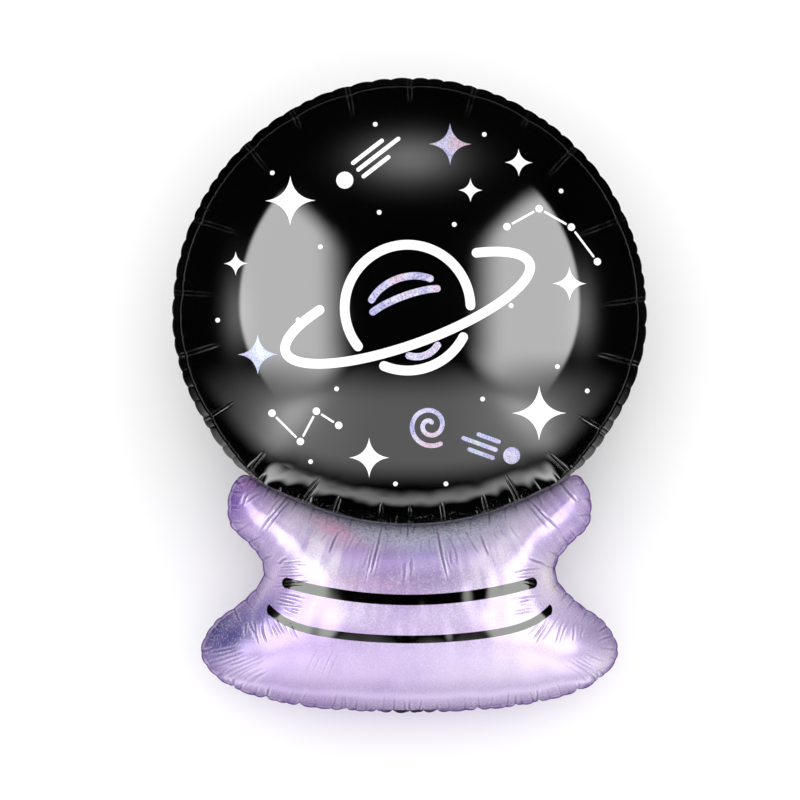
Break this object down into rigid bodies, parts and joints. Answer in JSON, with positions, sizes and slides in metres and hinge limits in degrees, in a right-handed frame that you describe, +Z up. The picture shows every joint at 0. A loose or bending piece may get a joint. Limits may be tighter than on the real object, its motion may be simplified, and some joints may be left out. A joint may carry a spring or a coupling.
{
  "type": "crystal ball foil balloon",
  "caption": "Foil balloon shaped like a crystal ball: a round black chamber seated on a waisted, flared lilac chamber with horns, lying on its back.",
  "frame": {"origin": "centre of the bounding box's underside, on the floor that the balloon lies on", "axes": "+X across the balloon to its right as printed, +Y from the foot of the stand to the top of the ball, +Z up, out of the printed front"},
  "size_m": [0.474, 0.6214, 0.2866],
  "materials": {
    "black_foil": "gloss black printed foil",
    "lilac_foil": "satin lilac holographic foil"
  },
  "bodies": {
    "root": {"crystal_ball": "black_foil", "stand": "lilac_foil"}
  },
  "joints": []
}
